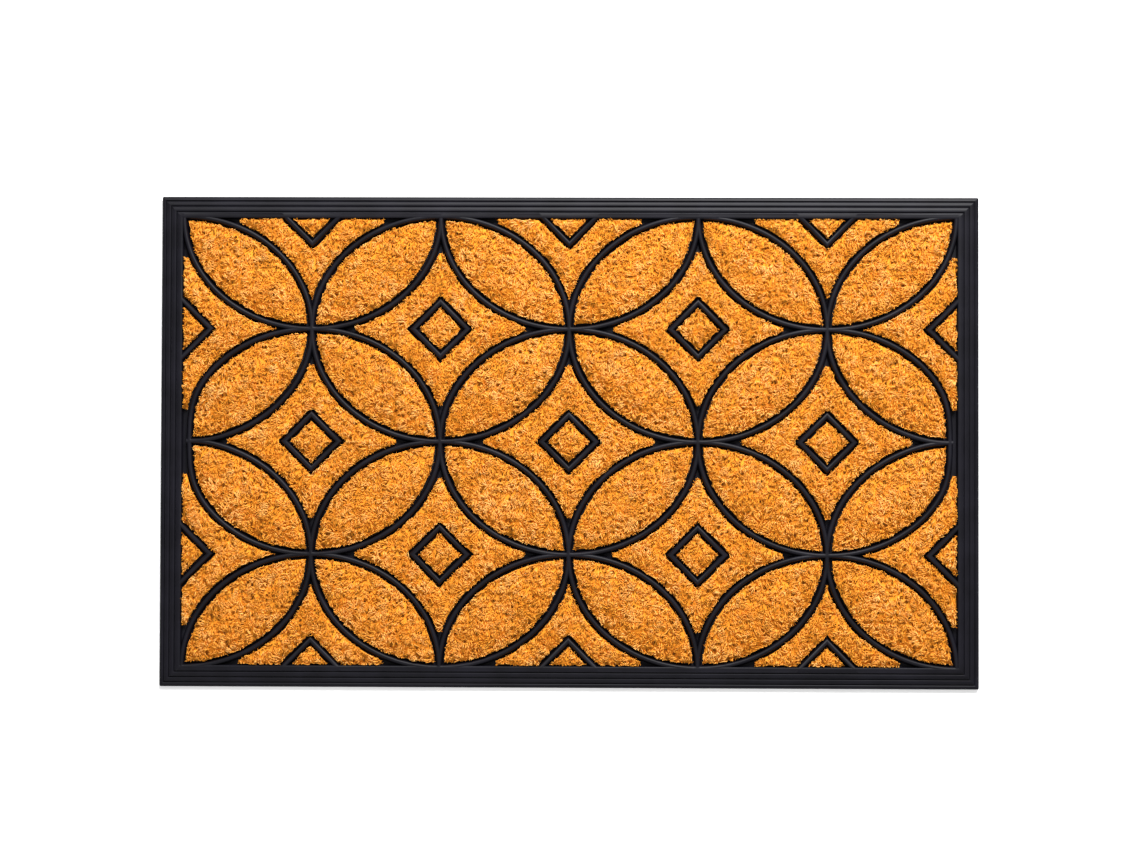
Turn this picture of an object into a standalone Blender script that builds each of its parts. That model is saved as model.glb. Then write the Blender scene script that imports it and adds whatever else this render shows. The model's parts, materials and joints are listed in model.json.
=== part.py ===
"""Door mat: one black rubber moulding and the coir pile pads that lie in its pockets.

Metres, +Z up. The origin is under the middle of the mat, on the floor. The long side runs
along X. A lattice of interlaced ellipses, drawn as ribs, divides the field into petals and
concave stars, and a diamond ring stands in the middle of every star. Along the border the
stars and the diamonds are cut in half.
"""

import math
from collections import namedtuple

import bmesh
import bpy
import numpy as np

# Overall size
MAT_LENGTH = 0.750
MAT_WIDTH = 0.450

# Border, from the outer edge inwards: four bands that climb like stairs to the rib height
BAND_WIDTHS = (0.0044, 0.0049, 0.0052, 0.0055)
EDGE_HEIGHT = 0.0035
RISER_RUN = 0.0006
RISER_HEIGHT = 0.0010
GROOVE_RUN = 0.0004
GROOVE_DEPTH = 0.0005
LEVEL_RUN = 0.0020

# Heights above the floor
WEB_THICKNESS = 0.0030
RIB_HEIGHT = 0.0095
PILE_HEIGHT = 0.0110

# Ribs: they stand on the web with leaning sides
RIB_CREST_WIDTH = 0.0036
RIB_BASE_WIDTH = 0.0072
BORDER_WALL_LEAN = 0.0006

# Lattice of ellipses: whole cells in each direction
COLUMNS = 6
ROWS = 4
LATTICE_OVERRUN_X = -0.0010
LATTICE_OVERRUN_Y = 0.0014
DIAMOND_REACH = 0.0250

# The ribs that run beside the middle of each short side are drawn in from the border
DRAW_IN = 0.0060
DRAW_IN_LENGTH = 0.0360
DRAW_IN_DEPTH = 0.0300
POCKET_BRIDGE = 0.0020

# Pads: their clearance to the rubber, and how wide their blunt tips are between two ribs.
# The pockets of whole stars run on to nearly sharp tips, those of half stars end near the border.
PAD_CLEARANCE = 0.0003
PAD_TIP_WIDTH = 0.0040
STAR_POCKET_TIP_WIDTH = 0.0006
BORDER_POCKET_TIP_WIDTH = 0.0026

# How finely curves are drawn
PETAL_STEPS = 11
STAR_STEPS = 7
ARC_SAMPLES = 2000
CUTTER_RISE = 0.0010

BORDER_WIDTH = sum(BAND_WIDTHS)
FIELD_X = MAT_LENGTH / 2 - BORDER_WIDTH
FIELD_Y = MAT_WIDTH / 2 - BORDER_WIDTH
PITCH_X = 2 * (FIELD_X + LATTICE_OVERRUN_X) / COLUMNS
PITCH_Y = 2 * (FIELD_Y + LATTICE_OVERRUN_Y) / ROWS

# The outline of a petal, star or diamond. An inner side has one point for each of the outer one.
# In a ring both sides close on themselves. Otherwise they end at the border.
Shape = namedtuple("Shape", "name outer inner ring")

RUBBER_COLOUR = (0.020, 0.020, 0.023, 1.0)
RUBBER_ROUGHNESS = 0.55
COIR_COLOUR = (0.75, 0.27, 0.04, 1.0)
COIR_ROUGHNESS = 0.95


def clear_scene():
    for old in list(bpy.data.objects):
        bpy.data.objects.remove(old, do_unlink=True)


def principled(name, colour, roughness):
    material = bpy.data.materials.new(name)
    material.use_nodes = True
    shader = material.node_tree.nodes["Principled BSDF"]
    shader.inputs["Base Color"].default_value = colour
    shader.inputs["Roughness"].default_value = roughness
    shader.inputs["Metallic"].default_value = 0.0
    material.diffuse_color = colour
    return material


def add_object(name, mesh, material=None):
    piece = bpy.data.objects.new(name, mesh)
    bpy.context.scene.collection.objects.link(piece)
    if material is not None:
        mesh.materials.append(material)
    return piece


def lattice_point(column, row):
    """Centre of the mat is lattice point (COLUMNS / 2, ROWS / 2)."""
    return np.array([(column - COLUMNS / 2) * PITCH_X, (row - ROWS / 2) * PITCH_Y])


def drawn_in(points):
    """Moves points near the middle of a short side towards the centre, fading out in a bell curve."""
    outer_line = COLUMNS / 2 * PITCH_X
    along = np.exp(-((points[:, 1] / DRAW_IN_LENGTH) ** 2))
    across = np.exp(-(((outer_line - np.abs(points[:, 0])) / DRAW_IN_DEPTH) ** 2))
    moved = points.copy()
    moved[:, 0] -= np.sign(points[:, 0]) * DRAW_IN * along * across
    return moved


def ellipse_arc(centre, grow, angles):
    """Points of the lattice ellipse about centre, grown by grow, at the given angles."""
    x = centre[0] + (PITCH_X + grow) * np.cos(angles)
    y = centre[1] + (PITCH_Y + grow) * np.sin(angles)
    return drawn_in(np.stack([x, y], axis=1))


def petal_outline(column, row, gap):
    """Lens where the ellipses about two opposite corners of a cell overlap, gap inside their lines."""
    even = (column + row) % 2 == 0
    first = lattice_point(column + 1, row) if even else lattice_point(column, row)
    second = lattice_point(column, row + 1) if even else lattice_point(column + 1, row + 1)
    across = (second - first) / np.array([PITCH_X - gap, PITCH_Y - gap])
    middle = math.atan2(across[1], across[0])
    half = math.acos(math.hypot(across[0], across[1]) / 2)
    angles = np.linspace(middle - half, middle + half, PETAL_STEPS, endpoint=False)
    return np.vstack([ellipse_arc(first, -gap, angles), ellipse_arc(second, -gap, angles + math.pi)])


def star_arc(column, row, side_x, side_y, gap, tip):
    """One concave side of a star, gap outside the ellipse line, from its tip along X to its tip along Y.

    It starts and ends half a tip width away from the star's axes.
    """
    centre = lattice_point(column + side_x, row + side_y)
    start = math.asin((PITCH_Y - tip / 2) / (PITCH_Y + gap))
    stop = math.acos((PITCH_X - tip / 2) / (PITCH_X + gap))
    angles = np.linspace(start, stop, STAR_STEPS + 1)
    return ellipse_arc(centre, gap, np.arctan2(-side_y * np.sin(angles), -side_x * np.cos(angles)))


def star_outline(column, row, gap, tip):
    """Four concave sides, counter-clockwise from the blunt tip at +X."""
    sides = []
    for side_x, side_y in ((1, 1), (-1, 1), (-1, -1), (1, -1)):
        arc = star_arc(column, row, side_x, side_y, gap, tip)
        sides.append(arc if side_x == side_y else arc[::-1])
    return np.vstack(sides)


def divided(corners, steps):
    """Points along the straight lines from corner to corner, steps to each line, both ends included."""
    shares = np.arange(steps)[:, None] / steps
    lines = [start + (stop - start) * shares for start, stop in zip(corners, corners[1:])]
    return np.vstack(lines + [corners[-1:]])


def diamond_outline(column, row, gap):
    """Square on its corner, gap outside the line of the diamond rib, counter-clockwise from +X."""
    reach = DIAMOND_REACH + gap * math.sqrt(2)
    corners = np.array([(1, 0), (0, 1), (-1, 0), (0, -1)])
    return lattice_point(column, row) + reach * corners


def star_hole(column, row, gap):
    """The diamond inside a star, with one point for every point of the star around it."""
    corners = diamond_outline(column, row, gap)
    return divided(np.vstack([corners, corners[:1]]), STAR_STEPS + 1)[:-1]


def border_side(column, row):
    """(axis, sign) of the border that a lattice point lies on, or None inside the field."""
    if column in (0, COLUMNS):
        return 0, (1 if column else -1)
    if row in (0, ROWS):
        return 1, (1 if row else -1)
    return None


def clipped_arc(column, row, side_x, side_y, gap, line, tip):
    """A half star's concave side, from its inner tip towards the border.

    It stops where less than tip is left between it and the border line, or beside the middle
    of a drawn-in rib, where a thin bridge is left to the next pocket.
    """
    axis, sign = border_side(column, row)
    centre = lattice_point(column + side_x, row + side_y)
    bridge = POCKET_BRIDGE / 2 / PITCH_Y
    if axis == 0:
        angles = np.linspace(math.asin(PITCH_Y / (PITCH_Y + gap)), bridge, ARC_SAMPLES)
    else:
        angles = np.linspace(math.acos(PITCH_X / (PITCH_X + gap)), math.pi / 2, ARC_SAMPLES)
    turned = np.arctan2(-side_y * np.sin(angles), -side_x * np.cos(angles))
    room = line - sign * ellipse_arc(centre, gap, turned)[:, axis]
    last = int(np.argmax(room < tip)) if (room < tip).any() else ARC_SAMPLES - 1
    kept = np.linspace(0, last, STAR_STEPS + 1).round().astype(int)
    return ellipse_arc(centre, gap, turned[kept])


def half_star_sides(column, row, gap, edge, tip):
    """Outer and inner side of a half star, each from the border round to the border again.

    The inner side runs along the half diamond. Both have as many points as each other.
    """
    axis, sign = border_side(column, row)
    line = (FIELD_X if axis == 0 else FIELD_Y) - edge
    if axis == 0:
        first = clipped_arc(column, row, -sign, 1, gap, line, tip)
        second = clipped_arc(column, row, -sign, -1, gap, line, tip)
    else:
        first = clipped_arc(column, row, 1, -sign, gap, line, tip)
        second = clipped_arc(column, row, -1, -sign, gap, line, tip)
    ends = [first[-1].copy(), second[-1].copy()]
    for end in ends:
        end[axis] = sign * line
    outer = np.vstack([ends[:1], first[::-1], second[1:], ends[1:]])
    inner = divided(half_diamond_outline(column, row, gap, edge), STAR_STEPS + 1)
    return outer, inner


def half_diamond_outline(column, row, gap, edge):
    """Triangle against the border: a foot, the corner that points inwards, and the other foot.

    The first foot lies on the +Y side on a short border, and on the +X side on a long one.
    """
    axis, sign = border_side(column, row)
    centre = lattice_point(column, row)
    line = (FIELD_X if axis == 0 else FIELD_Y) - edge
    reach = DIAMOND_REACH + gap * math.sqrt(2)
    spread = reach + line - abs(centre[axis])
    points = np.tile(centre, (3, 1))
    points[1, axis] -= sign * reach
    points[[0, 2], axis] = sign * line
    points[[0, 2], 1 - axis] += np.array([spread, -spread])
    return points


def side_name(column, row):
    axis, sign = border_side(column, row)
    if axis == 0:
        return "right" if sign > 0 else "left"
    return "far" if sign > 0 else "near"


def petal_shapes(gap):
    """Shape of every petal."""
    shapes = []
    for row in range(ROWS):
        for column in range(COLUMNS):
            outline = petal_outline(column, row, gap)
            shapes.append(Shape(f"petal_pad_row{row + 1}_col{column + 1}", outline, None, True))
    return shapes


def star_shapes(gap, edge, star_tip, border_tip):
    """Shape of every star and diamond, whole or half."""
    shapes = []
    for row in range(ROWS + 1):
        for column in range(COLUMNS + 1):
            if (column + row) % 2 == 0:
                continue
            if border_side(column, row) is None:
                place = f"row{row}_col{column}"
                star = star_outline(column, row, gap, star_tip)
                hole = star_hole(column, row, gap)
                diamond = diamond_outline(column, row, -gap)
                shapes.append(Shape(f"star_pad_{place}", star, hole, True))
                shapes.append(Shape(f"diamond_pad_{place}", diamond, None, True))
            else:
                axis = border_side(column, row)[0]
                place = f"{side_name(column, row)}_{((row if axis == 0 else column) + 1) // 2}"
                outer, inner = half_star_sides(column, row, gap, edge, border_tip)
                diamond = half_diamond_outline(column, row, -gap, edge)
                shapes.append(Shape(f"half_star_pad_{place}", outer, inner, False))
                shapes.append(Shape(f"half_diamond_pad_{place}", diamond, None, True))
    return shapes


def field_shapes(gap, edge, star_tip, border_tip):
    """Every shape in the field, gap away from the rib lines and edge away from the border."""
    return petal_shapes(gap) + star_shapes(gap, edge, star_tip, border_tip)


def ring_of_verts(bm, points, height):
    return [bm.verts.new((x, y, height)) for x, y in points]


def add_strip(bm, first, second, ring=True):
    """Band of faces between two rows of vertices, which close into a ring or not."""
    for index in range(len(first) if ring else len(first) - 1):
        after = (index + 1) % len(first)
        bm.faces.new((first[index], first[after], second[after], second[index]))


def add_prism(bm, low_shape, low_z, high_shape, high_z):
    """Closed solid between two levels of one shape."""
    low = ring_of_verts(bm, low_shape.outer, low_z)
    high = ring_of_verts(bm, high_shape.outer, high_z)
    add_strip(bm, low, high, low_shape.ring)
    if low_shape.inner is None:
        bm.faces.new(low)
        bm.faces.new(high)
        return
    low_inner = ring_of_verts(bm, low_shape.inner, low_z)
    high_inner = ring_of_verts(bm, high_shape.inner, high_z)
    add_strip(bm, low_inner, high_inner, low_shape.ring)
    add_strip(bm, low, low_inner, low_shape.ring)
    add_strip(bm, high, high_inner, low_shape.ring)
    if not low_shape.ring:
        for end in (0, -1):
            bm.faces.new((low[end], low_inner[end], high_inner[end], high[end]))


def mesh_of(name, bm):
    """Mesh of closed shells, with its large faces cut to triangles and all faces turned outwards."""
    bmesh.ops.triangulate(bm, faces=[face for face in bm.faces if len(face.verts) > 4])
    bmesh.ops.recalc_face_normals(bm, faces=bm.faces)
    mesh = bpy.data.meshes.new(name)
    bm.to_mesh(mesh)
    bm.free()
    return mesh


def border_profile():
    """(distance in from the outer edge, height) up the border: each band has a riser, a tread and a groove."""
    step = (RIB_HEIGHT - EDGE_HEIGHT) / len(BAND_WIDTHS)
    profile = [(0.0, 0.0), (0.0, EDGE_HEIGHT)]
    inset = 0.0
    foot = EDGE_HEIGHT
    for width in BAND_WIDTHS:
        profile.append((inset + RISER_RUN, foot + RISER_HEIGHT))
        inset += width
        foot += step
        profile.append((inset - GROOVE_RUN, foot + GROOVE_DEPTH))
        profile.append((inset, foot))
    # The innermost band has no groove: it ends level with the ribs.
    profile[-2:] = [(inset - LEVEL_RUN, RIB_HEIGHT)]
    return profile


def rectangle(inset):
    x = MAT_LENGTH / 2 - inset
    y = MAT_WIDTH / 2 - inset
    return [(-x, -y), (x, -y), (x, y), (-x, y)]


def moulding_block():
    """The moulding before its pockets are cut: stepped border all round, flat at the rib height inside."""
    bm = bmesh.new()
    loops = [ring_of_verts(bm, rectangle(inset), height) for inset, height in border_profile()]
    for low, high in zip(loops, loops[1:]):
        add_strip(bm, low, high)
    bm.faces.new(loops[0])
    bm.faces.new(loops[-1])
    return mesh_of("rubber_moulding", bm)


def pocket_cutter():
    """All pockets as one hidden solid, a little taller than the walls, which lean outwards."""
    share = 1 + CUTTER_RISE / (RIB_HEIGHT - WEB_THICKNESS)
    base = RIB_BASE_WIDTH / 2
    crest = base - (RIB_BASE_WIDTH - RIB_CREST_WIDTH) / 2 * share
    tips = (STAR_POCKET_TIP_WIDTH, BORDER_POCKET_TIP_WIDTH)
    low_shapes = field_shapes(base, BORDER_WALL_LEAN, *tips)
    high_shapes = field_shapes(crest, BORDER_WALL_LEAN * (1 - share), *tips)
    bm = bmesh.new()
    for low, high in zip(low_shapes, high_shapes):
        add_prism(bm, low, WEB_THICKNESS, high, RIB_HEIGHT + CUTTER_RISE)
    cutter = add_object("pocket_cutter", mesh_of("pocket_cutter", bm))
    cutter.hide_render = True
    cutter.display_type = "WIRE"
    return cutter


def build_moulding(rubber):
    moulding = add_object("rubber_moulding", moulding_block(), rubber)
    pockets = moulding.modifiers.new("pockets", "BOOLEAN")
    pockets.operation = "DIFFERENCE"
    pockets.solver = "EXACT"
    pockets.object = pocket_cutter()


def build_pads(coir):
    gap = RIB_BASE_WIDTH / 2 + PAD_CLEARANCE
    edge = BORDER_WALL_LEAN + PAD_CLEARANCE
    for shape in field_shapes(gap, edge, PAD_TIP_WIDTH, PAD_TIP_WIDTH):
        bm = bmesh.new()
        add_prism(bm, shape, WEB_THICKNESS + PAD_CLEARANCE, shape, PILE_HEIGHT)
        add_object(shape.name, mesh_of(shape.name, bm), coir)


def main():
    clear_scene()
    build_moulding(principled("black_rubber", RUBBER_COLOUR, RUBBER_ROUGHNESS))
    build_pads(principled("coir_pile", COIR_COLOUR, COIR_ROUGHNESS))


main()
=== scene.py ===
# %% [markdown]
# # A coir and rubber door mat
# The real mat is one black rubber moulding with a lattice of ribs. Coir, the fibre from coconut
# husks, fills every opening of the lattice as short pile. This lesson makes the moulding from
# profiles carried along paths, and the pile from about 150 thousand small fibres, each a closed
# little spike worked out with numpy. Lengths are in metres, +Z is up, +X is the long side.

# %% Load the measured frame
import json
import math
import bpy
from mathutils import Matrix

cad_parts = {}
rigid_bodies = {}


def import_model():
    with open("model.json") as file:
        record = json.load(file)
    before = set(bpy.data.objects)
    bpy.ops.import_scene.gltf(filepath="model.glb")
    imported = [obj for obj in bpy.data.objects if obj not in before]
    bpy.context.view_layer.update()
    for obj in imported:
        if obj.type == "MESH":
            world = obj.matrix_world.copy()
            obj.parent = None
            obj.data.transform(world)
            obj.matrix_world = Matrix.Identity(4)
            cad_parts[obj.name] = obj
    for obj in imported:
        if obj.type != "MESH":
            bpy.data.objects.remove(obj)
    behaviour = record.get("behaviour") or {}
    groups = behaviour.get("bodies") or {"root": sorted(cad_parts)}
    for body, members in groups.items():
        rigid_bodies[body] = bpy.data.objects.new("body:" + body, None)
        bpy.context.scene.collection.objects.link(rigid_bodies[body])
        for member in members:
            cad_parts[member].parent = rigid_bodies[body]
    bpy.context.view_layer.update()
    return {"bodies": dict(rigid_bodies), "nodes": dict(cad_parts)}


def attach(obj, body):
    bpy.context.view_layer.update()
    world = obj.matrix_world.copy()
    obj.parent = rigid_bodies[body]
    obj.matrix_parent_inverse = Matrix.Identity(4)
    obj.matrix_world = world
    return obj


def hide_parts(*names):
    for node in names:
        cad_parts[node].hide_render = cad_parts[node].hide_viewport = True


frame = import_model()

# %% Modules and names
import zlib

import bpy
import numpy as np

BODY = "root"
NODES = frame["nodes"]
print("nodes in the frame:", len(NODES))

# %% [markdown]
# Blender's start-up scene holds a cube, a lamp and a camera. They go first, so that everything in
# the picture is made here.

# %% Clear the start-up scene
kept = set(NODES.values()) | set(frame["bodies"].values())
for old in [thing for thing in bpy.data.objects if thing not in kept]:
    bpy.data.objects.remove(old, do_unlink=True)

# %% [markdown]
# ## Camera
# The mat is seen from almost straight above. The place and the turn of the camera come from
# solving for the view in which a 750 x 450 mm rectangle has its four corners where they belong.

# %% Camera
CAMERA_LENS = 70.0
SENSOR_WIDTH = 36.0
VIEW_DEPTH = 20.0
CAMERA_PLACE = (0.0273, -0.0276, 2.0357)
CAMERA_TURN_DEG = (1.157, 0.739, 0.177)

lens = bpy.data.cameras.new("camera")
lens.lens = CAMERA_LENS
lens.sensor_width = SENSOR_WIDTH
lens.clip_end = VIEW_DEPTH
camera = bpy.data.objects.new("camera", lens)
camera.location = CAMERA_PLACE
camera.rotation_euler = [math.radians(angle) for angle in CAMERA_TURN_DEG]
bpy.context.scene.collection.objects.link(camera)
bpy.context.scene.camera = camera

# %% [markdown]
# ## Sizes
# The lattice is a grid of points. Round every second point stands an ellipse whose half axes are
# one grid step long, so it runs through the four points next to its own. Where two ellipses
# overlap they leave a petal, and between four of them a star is left. The outermost lattice points
# lie a millimetre or so off the border's inner edge: inside it on the short sides, past it on the
# long ones.

# %% Sizes
MAT_LENGTH = 0.750
MAT_WIDTH = 0.450
BAND_WIDTHS = (0.0044, 0.0049, 0.0052, 0.0055)
EDGE_HEIGHT = 0.0035
WEB_TOP = 0.0030
RIB_TOP = 0.0095
COLUMNS = 6
ROWS = 4
OVERRUN_X = -0.0010
OVERRUN_Y = 0.0014
DIAMOND_REACH = 0.0250
DRAW_IN = 0.0060
DRAW_IN_LENGTH = 0.0360
DRAW_IN_DEPTH = 0.0300

BORDER_WIDTH = sum(BAND_WIDTHS)
FIELD = np.array([MAT_LENGTH / 2 - BORDER_WIDTH, MAT_WIDTH / 2 - BORDER_WIDTH])
STEP = 2 * (FIELD + [OVERRUN_X, OVERRUN_Y]) / [COLUMNS, ROWS]
print("lattice step in mm:", np.round(1000 * STEP, 1))

# %% [markdown]
# ## Helpers
# Every piece is made the same way: an array of points, a list of faces that index them, and
# `from_pydata` or `foreach_set` to put them in a mesh. Faces are listed counter-clockwise as seen
# from outside, because Blender takes that side as the front.


# %% Helpers
def add_mesh(name, points, faces):
    """An object at the origin whose mesh has these points and faces."""
    mesh = bpy.data.meshes.new(name)
    mesh.from_pydata(points.tolist(), [], [list(map(int, face)) for face in faces])
    mesh.update()
    piece = bpy.data.objects.new(name, mesh)
    bpy.context.scene.collection.objects.link(piece)
    return piece


def sweep_faces(rings, around, closed):
    """Quads between neighbouring rings of a swept solid, plus one flat end face at each open end.

    Point number of ring i and place k is i * around + k, so a quad joins (i, k), (i, k + 1),
    (i + 1, k + 1) and (i + 1, k), with k + 1 wrapping round.
    """
    ring = np.arange(rings if closed else rings - 1)[:, None]
    place = np.arange(around)[None, :]
    after = (ring + 1) % rings
    beside = (place + 1) % around
    corners = (ring * around + place, ring * around + beside)
    corners += (after * around + beside, after * around + place)
    quads = np.stack(np.broadcast_arrays(*corners), axis=-1).reshape(-1, 4)
    faces = quads.tolist()
    if not closed:
        faces.append(list(range(around))[::-1])
        faces.append([(rings - 1) * around + place for place in range(around)])
    return faces


def signed_volume(points, faces):
    """Sum over the faces' fans of the triple product divided by six: positive when faces look out."""
    total = 0.0
    for count in {len(face) for face in faces}:
        group = points[np.array([face for face in faces if len(face) == count])]
        for last in range(2, count):
            triple = np.cross(group[:, last - 1], group[:, last]) * group[:, 0]
            total += triple.sum() / 6
    return total


def facing_out(points, faces):
    """The faces, turned round if the solid they close is inside out."""
    return faces if signed_volume(points, faces) > 0 else [face[::-1] for face in faces]


# %% [markdown]
# ## The stepped border and its web
# Round the real mat runs a border of four bands that climb inwards like stairs. Each band is a
# soft-edged tread that rises to a lip, with a narrow groove where the next riser starts. One
# profile of (distance in from the edge, height) is carried round the mat. No side directions are
# needed, because on a rectangle each profile point is just a smaller rectangle. The innermost band
# ends level with the ribs and drops to the web, and the web closes the solid.

# %% Border profile
RISER_RUN = 0.00050
RISER_RISE = 0.00120
GROOVE_RUN = 0.00090
GROOVE_DROP = 0.00080
EDGE_ROUND = 0.00034
WALL_LEAN = 0.0006
CREST_WIDTH = 0.0020
CREST_ROUND = 0.0006
LONGEST_SHARE = 0.4


def softened(profile, reach):
    """Replaces each inner corner of a profile with two points, reach along each side from it.

    On a short side the point stops at LONGEST_SHARE of the side, so neighbours never cross.
    """
    before = profile[:-2]
    corner = profile[1:-1]
    after = profile[2:]
    lengths = [np.linalg.norm(side, axis=1) for side in (before - corner, after - corner)]
    shares = [np.minimum(reach / length, LONGEST_SHARE)[:, None] for length in lengths]
    pairs = [corner + (before - corner) * shares[0], corner + (after - corner) * shares[1]]
    soft = np.stack(pairs, axis=1).reshape(-1, 2)
    return np.vstack([profile[:1], soft, profile[-1:]])


def border_profile():
    """(inset, height) from the edge's foot to the web, with every edge softened."""
    rise = (RIB_TOP - EDGE_HEIGHT) / len(BAND_WIDTHS)
    points = [(0.0, 0.0), (0.0, EDGE_HEIGHT)]
    inset = 0.0
    for number, width in enumerate(BAND_WIDTHS):
        foot = EDGE_HEIGHT + number * rise
        points.append((inset + RISER_RUN, foot + RISER_RISE))
        inset += width
        if number < len(BAND_WIDTHS) - 1:
            points.append((inset - GROOVE_RUN, foot + rise + GROOVE_DROP))
            points.append((inset - GROOVE_RUN / 3, foot + rise - GROOVE_DROP))
    points.append((inset - CREST_WIDTH, RIB_TOP))
    points.append((inset - CREST_ROUND, RIB_TOP))
    points.append((inset, RIB_TOP - CREST_ROUND))
    points.append((inset + WALL_LEAN, WEB_TOP))
    return softened(np.array(points), EDGE_ROUND)


# %% Carry the profile round the mat
CORNER_STEPS = 5
CORNER_ROUND = 0.0015
INNER_CORNER_ROUND = 0.0002


def rounded_rectangle(inset):
    """Points round a rectangle whose corners are quarter circles, counter-clockwise.

    The corners' radius shrinks from the outer edge inwards, so the bands meet in a mitre.
    """
    share = np.clip(inset / BAND_WIDTHS[0], 0, 1)
    radius = CORNER_ROUND + (INNER_CORNER_ROUND - CORNER_ROUND) * share
    half = np.array([MAT_LENGTH / 2, MAT_WIDTH / 2]) - inset - radius
    signs = np.array([(1, 1), (-1, 1), (-1, -1), (1, -1)])
    turns = np.linspace(0, np.pi / 2, CORNER_STEPS)
    angles = np.arange(4)[:, None] * np.pi / 2 + turns
    round_part = radius * np.stack([np.cos(angles), np.sin(angles)], axis=-1)
    return (signs[:, None, :] * half + round_part).reshape(-1, 2)


def border_and_web():
    """Border profile carried round the mat, closed by the underside and by the web inside."""
    rings = []
    for inset, height in border_profile():
        outline = rounded_rectangle(inset)
        rings.append(np.column_stack([outline, np.full(len(outline), height)]))
    points = np.vstack(rings)
    faces = sweep_faces(len(rings), len(rings[0]), False)
    return points, facing_out(points, faces)


solids = [("border_and_web", *border_and_web())]
print("border points:", len(solids[0][1]))

# %% [markdown]
# ## Ribs along the ellipses
# A rib is a rounded ridge that follows its ellipse. Its section is given as (distance to the side,
# height), and every point of the ellipse gets a copy of the section, turned square to the path.
# At the middle of each short side the ribs are drawn in a little, away from the border, and a
# bell-shaped shift of the path does that.

# %% Rib section
RIB_HALF_SECTION = np.array(
    [
        (0.00000, 0.00950),
        (0.00060, 0.00944),
        (0.00115, 0.00922),
        (0.00160, 0.00886),
        (0.00190, 0.00838),
        (0.00207, 0.00780),
        (0.00216, 0.00700),
        (0.00228, 0.00560),
        (0.00250, 0.00440),
        (0.00295, 0.00350),
        (0.00365, 0.00280),
    ]
)
mirrored = RIB_HALF_SECTION[:0:-1] * [-1, 1]
RIB_SECTION = np.vstack([mirrored, RIB_HALF_SECTION])
RIB_SINK = 0.00002  # keeps the ribs' crests off the border's, because the union dislikes shared faces

# %% Paths of the ribs
RIB_STEPS = 40
RIB_OVERSHOOT = 0.0225


def drawn_in(points):
    """Shifts points towards the middle by DRAW_IN times two bell curves.

    One bell falls off along the short side, the other with the distance from its end column.
    """
    outer = COLUMNS / 2 * STEP[0]
    along = np.exp(-((points[:, 1] / DRAW_IN_LENGTH) ** 2))
    across = np.exp(-(((outer - np.abs(points[:, 0])) / DRAW_IN_DEPTH) ** 2))
    moved = points.copy()
    moved[:, 0] -= np.sign(points[:, 0]) * DRAW_IN * along * across
    return moved


def lattice_point(column, row):
    """Point of the lattice, counted in steps from the near left corner; the middle is at zero."""
    return np.array([(column - COLUMNS / 2) * STEP[0], (row - ROWS / 2) * STEP[1]])


def ellipse_angles(column, row):
    """Angles of the part of an ellipse that lies in the field, and whether it is the whole of it.

    Half an ellipse runs a little past half a turn, so that its rib ends inside the border.
    """
    if 0 < column < COLUMNS and 0 < row < ROWS:
        return np.linspace(0, 2 * np.pi, 4 * RIB_STEPS, endpoint=False), True
    if column in (0, COLUMNS):
        middle = np.pi if column else 0.0
    else:
        middle = -np.pi / 2 if row else np.pi / 2
    reach = np.pi / 2 + RIB_OVERSHOOT
    return np.linspace(middle - reach, middle + reach, 2 * RIB_STEPS + 1), False


def swept_rib(path, closed):
    """Section carried along a flat path. The side direction is the path's tangent turned a quarter."""
    if closed:
        tangent = np.roll(path, -1, axis=0) - np.roll(path, 1, axis=0)
    else:
        tangent = np.gradient(path, axis=0)
    tangent /= np.linalg.norm(tangent, axis=1, keepdims=True)
    side = np.stack([-tangent[:, 1], tangent[:, 0]], axis=1)
    flat = path[:, None, :] + side[:, None, :] * RIB_SECTION[None, :, :1]
    height = np.broadcast_to(RIB_SECTION[:, 1] - RIB_SINK, flat.shape[:2])
    points = np.concatenate([flat, height[..., None]], axis=-1).reshape(-1, 3)
    faces = sweep_faces(len(path), len(RIB_SECTION), closed)
    return points, facing_out(points, faces)


# %% Sweep every ellipse
centres = [(c, r) for c in range(COLUMNS + 1) for r in range(ROWS + 1) if (c + r) % 2]
for column, row in centres:
    angles, closed = ellipse_angles(column, row)
    path = lattice_point(column, row) + STEP * np.stack([np.cos(angles), np.sin(angles)], axis=1)
    solids.append((f"rib_{column}_{row}", *swept_rib(drawn_in(path), closed)))
print("ellipse ribs:", len(centres))

# %% [markdown]
# ## Diamond ribs
# The same section also runs round a square that stands on its corner inside each star. A mitred
# square needs no side directions: moving every side out by d moves each corner out by d times the
# square root of two. Against the border only the inner half of a diamond stands.

# %% Diamond ribs
DIAMOND_TAIL = 0.0030


def diamond_rib(column, row):
    """Section carried round a square on its corner, or round the half that faces the field."""
    centre = lattice_point(column, row)
    turns = np.array([(1, 0), (0, 1), (-1, 0), (0, -1)], float)
    whole = 0 < column < COLUMNS and 0 < row < ROWS
    reach = DIAMOND_REACH + RIB_SECTION[:, 0] * math.sqrt(2)
    flat = centre + turns[:, None, :] * reach[None, :, None]
    if not whole:
        inward = -np.sign(centre) * np.array([column in (0, COLUMNS), row in (0, ROWS)])
        along = np.array([inward[1], -inward[0]])
        corner = centre + inward * reach[:, None]
        feet = [centre + sign * along * reach[:, None] for sign in (1, -1)]
        tails = [(foot - corner) * (1 + DIAMOND_TAIL / reach[:, None]) + corner for foot in feet]
        flat = np.stack([tails[0], corner, tails[1]])
    height = np.broadcast_to(RIB_SECTION[:, 1] - RIB_SINK, flat.shape[:2])
    points = np.concatenate([flat, height[..., None]], axis=-1).reshape(-1, 3)
    return points, facing_out(points, sweep_faces(len(flat), len(RIB_SECTION), whole))


for column, row in centres:
    solids.append((f"diamond_rib_{column}_{row}", *diamond_rib(column, row)))
print("solids to join:", len(solids))

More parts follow.
